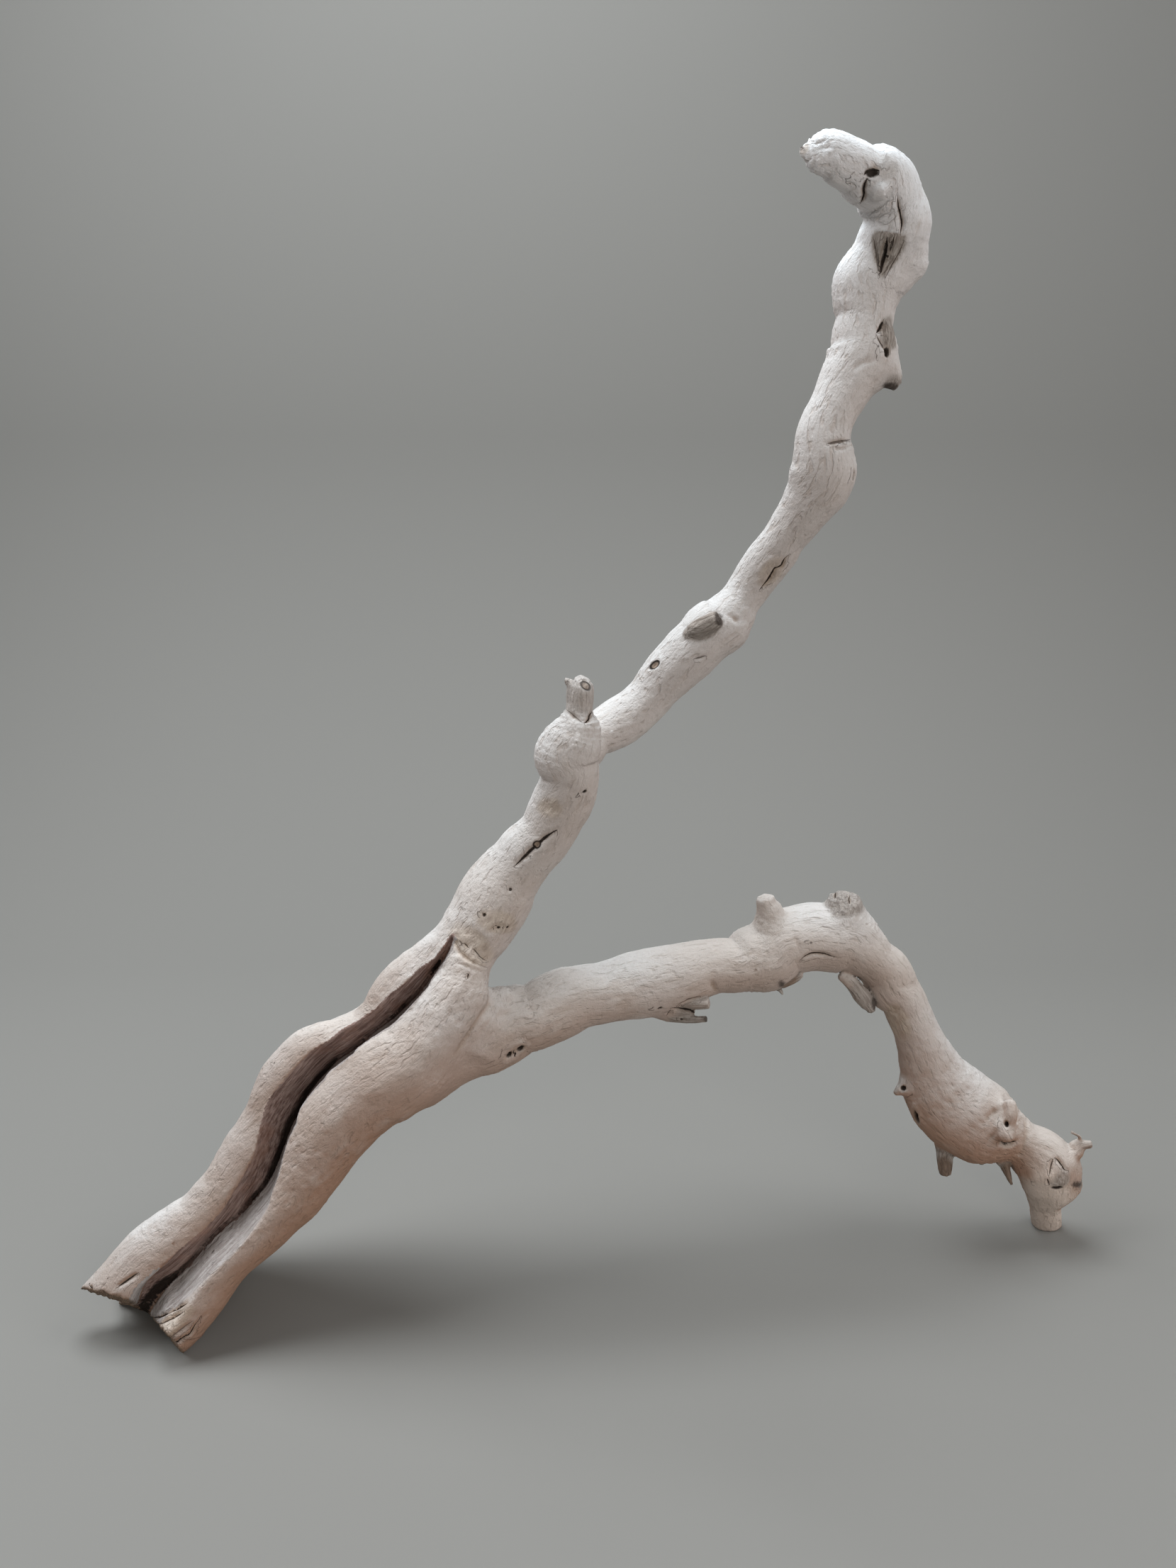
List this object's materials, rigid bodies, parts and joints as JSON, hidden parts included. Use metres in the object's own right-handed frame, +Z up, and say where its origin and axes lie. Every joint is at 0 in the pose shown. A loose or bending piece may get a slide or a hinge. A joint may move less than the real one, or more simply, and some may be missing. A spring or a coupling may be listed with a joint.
{
  "type": "grapevine driftwood",
  "caption": "Gnarled sandblasted grapevine wood: a thick split trunk leans up and forks into an upright crooked branch and an arching one that stands on a stub.",
  "frame": {"origin": "middle of the bounding box in X and Y, on the surface it stands on", "axes": "+Z up, +X from the trunk towards the arching branch's foot, +Y away from the pictured side"},
  "size_m": [0.5496, 0.1278, 0.5761],
  "materials": {
    "wood": "bare, sandblasted, matt"
  },
  "bodies": {
    "root": {"driftwood": "wood"}
  },
  "joints": []
}
